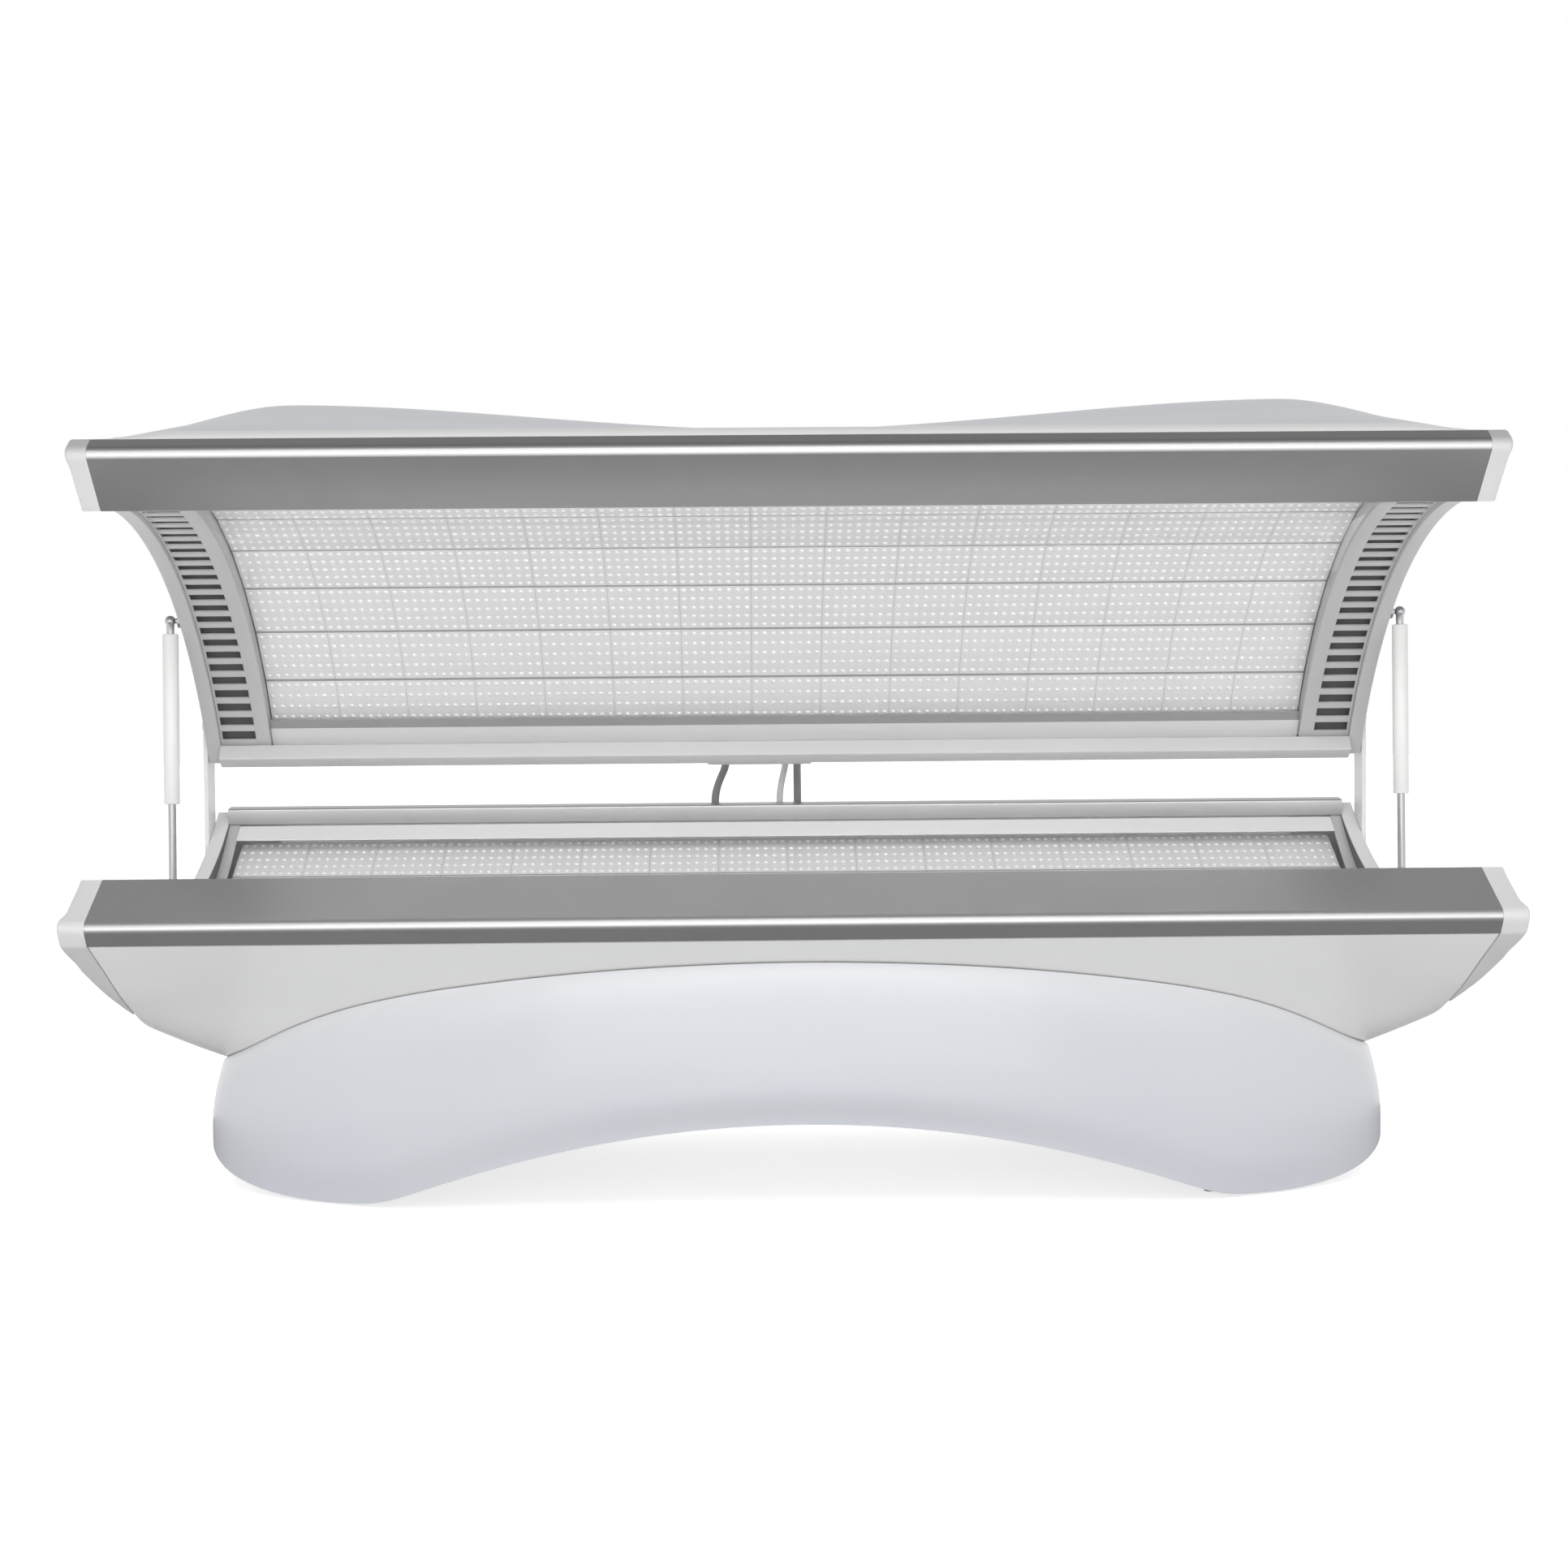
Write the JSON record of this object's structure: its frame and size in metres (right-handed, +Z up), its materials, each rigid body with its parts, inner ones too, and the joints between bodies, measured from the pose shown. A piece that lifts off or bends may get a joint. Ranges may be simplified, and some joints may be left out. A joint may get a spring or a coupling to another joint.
{
  "type": "light therapy bed",
  "caption": "Clamshell light therapy bed with a clear-sheeted tub on an arched pedestal, a hinged canopy on gas springs, silver rails and slotted end vents.",
  "frame": {"origin": "centre of the bounding box on the floor, canopy open", "axes": "+X along the bed to its right end, -Y to the open front, +Z up"},
  "size_m": [2.1026, 0.9099, 1.2581],
  "materials": {
    "white_abs": "gloss",
    "light_grey_abs": "satin",
    "satin_aluminium": "satin anodised",
    "clear_acrylic": "clear",
    "lamp_board_white": "matt",
    "zinc_plated_sheet": "zinc plated",
    "white_painted_steel": "powder coat",
    "bright_steel": "polished",
    "black_rubber": "matt",
    "black_plastic": "matt",
    "dark_grey_cable": "matt",
    "pale_grey_cable": "matt"
  },
  "bodies": {
    "base": {"base_front_rail": "satin_aluminium", "base_rear_rail": "satin_aluminium", "base_rail_cap_left": "light_grey_abs", "base_rail_cap_right": "light_grey_abs", "base_end_panel_left": "light_grey_abs", "base_end_panel_right": "light_grey_abs", "base_vent_left": "light_grey_abs", "base_vent_right": "light_grey_abs", "base_acrylic": "clear_acrylic", "base_lamp_panel": "lamp_board_white", "base_lamp_tray": "zinc_plated_sheet", "base_fan_frame_left": "black_plastic", "base_fan_frame_right": "black_plastic", "base_hull": "white_abs", "front_skirt": "white_abs", "rear_skirt": "white_abs", "base_frame": "white_painted_steel", "foot_front_left": "black_rubber", "foot_front_right": "black_rubber", "foot_rear_left": "black_rubber", "foot_rear_right": "black_rubber", "hinge_arm_left": "white_painted_steel", "hinge_pin_left": "bright_steel", "hinge_arm_right": "white_painted_steel", "hinge_pin_right": "bright_steel", "spring_stud_lower_left": "bright_steel", "spring_stud_lower_right": "bright_steel", "lamp_driver_left": "zinc_plated_sheet", "lamp_driver_right": "zinc_plated_sheet", "mains_inlet": "black_plastic", "base_cable_gland": "light_grey_abs", "cable_left": "dark_grey_cable", "cable_middle": "pale_grey_cable", "cable_right": "dark_grey_cable"},
    "canopy": {"canopy_front_rail": "satin_aluminium", "canopy_rear_rail": "satin_aluminium", "canopy_rail_cap_left": "light_grey_abs", "canopy_rail_cap_right": "light_grey_abs", "canopy_end_panel_left": "light_grey_abs", "canopy_end_panel_right": "light_grey_abs", "canopy_vent_left": "light_grey_abs", "canopy_vent_right": "light_grey_abs", "canopy_acrylic": "clear_acrylic", "canopy_lamp_panel": "lamp_board_white", "canopy_lamp_tray": "zinc_plated_sheet", "canopy_fan_frame_left": "black_plastic", "canopy_fan_frame_right": "black_plastic", "canopy_shell": "white_abs", "canopy_top_cover": "white_abs", "canopy_cable_gland": "light_grey_abs", "spring_stud_upper_left": "bright_steel", "spring_stud_upper_right": "bright_steel"},
    "spring_tube_left": {"gas_spring_tube_left": "white_painted_steel"},
    "spring_rod_left": {"gas_spring_rod_left": "bright_steel"},
    "spring_tube_right": {"gas_spring_tube_right": "white_painted_steel"},
    "spring_rod_right": {"gas_spring_rod_right": "bright_steel"},
    "base_fan_left": {"base_fan_rotor_left": "black_plastic"},
    "base_fan_right": {"base_fan_rotor_right": "black_plastic"},
    "canopy_fan_left": {"canopy_fan_rotor_left": "black_plastic"},
    "canopy_fan_right": {"canopy_fan_rotor_right": "black_plastic"}
  },
  "joints": [
    {"name": "canopy_hinge", "type": "hinge", "parent": "base", "child": "canopy", "pos_m": [0, 0.3829, 0.73156], "axis": [1, 0, 0], "range_deg": [0, 31], "deforming": ["cable_left", "cable_middle", "cable_right"]},
    {"name": "spring_swing_left", "type": "hinge", "parent": "canopy", "child": "spring_tube_left", "pos_m": [-1.037, 0.17418, 0.90921], "axis": [1, 0, 0], "range_deg": [-22.77, 1]},
    {"name": "spring_stroke_left", "type": "slide", "parent": "spring_tube_left", "child": "spring_rod_left", "axis": [0, -0.0275, -0.9996], "range_m": [-0.1309, 0.002]},
    {"name": "spring_swing_right", "type": "hinge", "parent": "canopy", "child": "spring_tube_right", "pos_m": [1.037, 0.17418, 0.90921], "axis": [1, 0, 0], "range_deg": [-22.77, 1]},
    {"name": "spring_stroke_right", "type": "slide", "parent": "spring_tube_right", "child": "spring_rod_right", "axis": [0, -0.0275, -0.9996], "range_m": [-0.1309, 0.002]},
    {"name": "base_fan_spin_left", "type": "hinge", "parent": "base", "child": "base_fan_left", "pos_m": [-0.6, 0.05846, 0.37605], "axis": [0, 0.0969, -0.9953], "continuous": true},
    {"name": "base_fan_spin_right", "type": "hinge", "parent": "base", "child": "base_fan_right", "pos_m": [0.6, 0.05846, 0.37605], "axis": [0, 0.0969, -0.9953], "continuous": true},
    {"name": "canopy_fan_spin_left", "type": "hinge", "parent": "canopy", "child": "canopy_fan_left", "pos_m": [-0.6, 0.10526, 1.00428], "axis": [0, 0.5024, 0.8647], "continuous": true},
    {"name": "canopy_fan_spin_right", "type": "hinge", "parent": "canopy", "child": "canopy_fan_right", "pos_m": [0.6, 0.10526, 1.00428], "axis": [0, 0.5024, 0.8647], "continuous": true}
  ],
  "couplings": [
    {"joint": "spring_swing_left", "follows": "canopy_hinge", "ratio": -0.7024},
    {"joint": "spring_stroke_left", "follows": "canopy_hinge", "m_per_rad": -0.2345},
    {"joint": "spring_swing_right", "follows": "canopy_hinge", "ratio": -0.7024},
    {"joint": "spring_stroke_right", "follows": "canopy_hinge", "m_per_rad": -0.2345}
  ]
}
